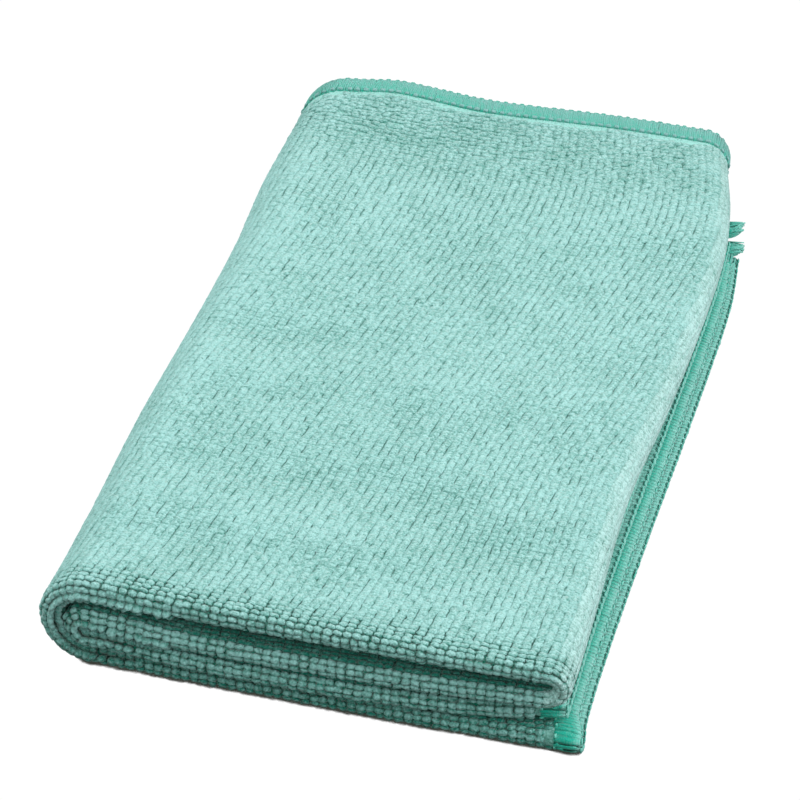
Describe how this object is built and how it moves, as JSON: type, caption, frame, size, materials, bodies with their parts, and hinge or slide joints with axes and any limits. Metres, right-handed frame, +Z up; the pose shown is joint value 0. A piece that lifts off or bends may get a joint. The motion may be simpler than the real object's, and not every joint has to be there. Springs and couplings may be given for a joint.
{
  "type": "folded microfibre cloth",
  "caption": "Looped microfibre cleaning cloth with overlocked green hems, doubled over and folded twice across into a long soft bundle.",
  "frame": {"origin": "on the table, under the middle of the folded cloth's box", "axes": "+X across the folded cloth, from its closed left folds to its open hemmed side; +Y along it, from the doubled near end to the hems at the far end; +Z up"},
  "size_m": [0.1018, 0.177, 0.0195],
  "materials": {
    "cloth": "matt looped warp knit in pale mint green, with overlocked edges in a stronger sea green thread"
  },
  "bodies": {
    "root": {"cloth": "cloth"}
  },
  "joints": []
}
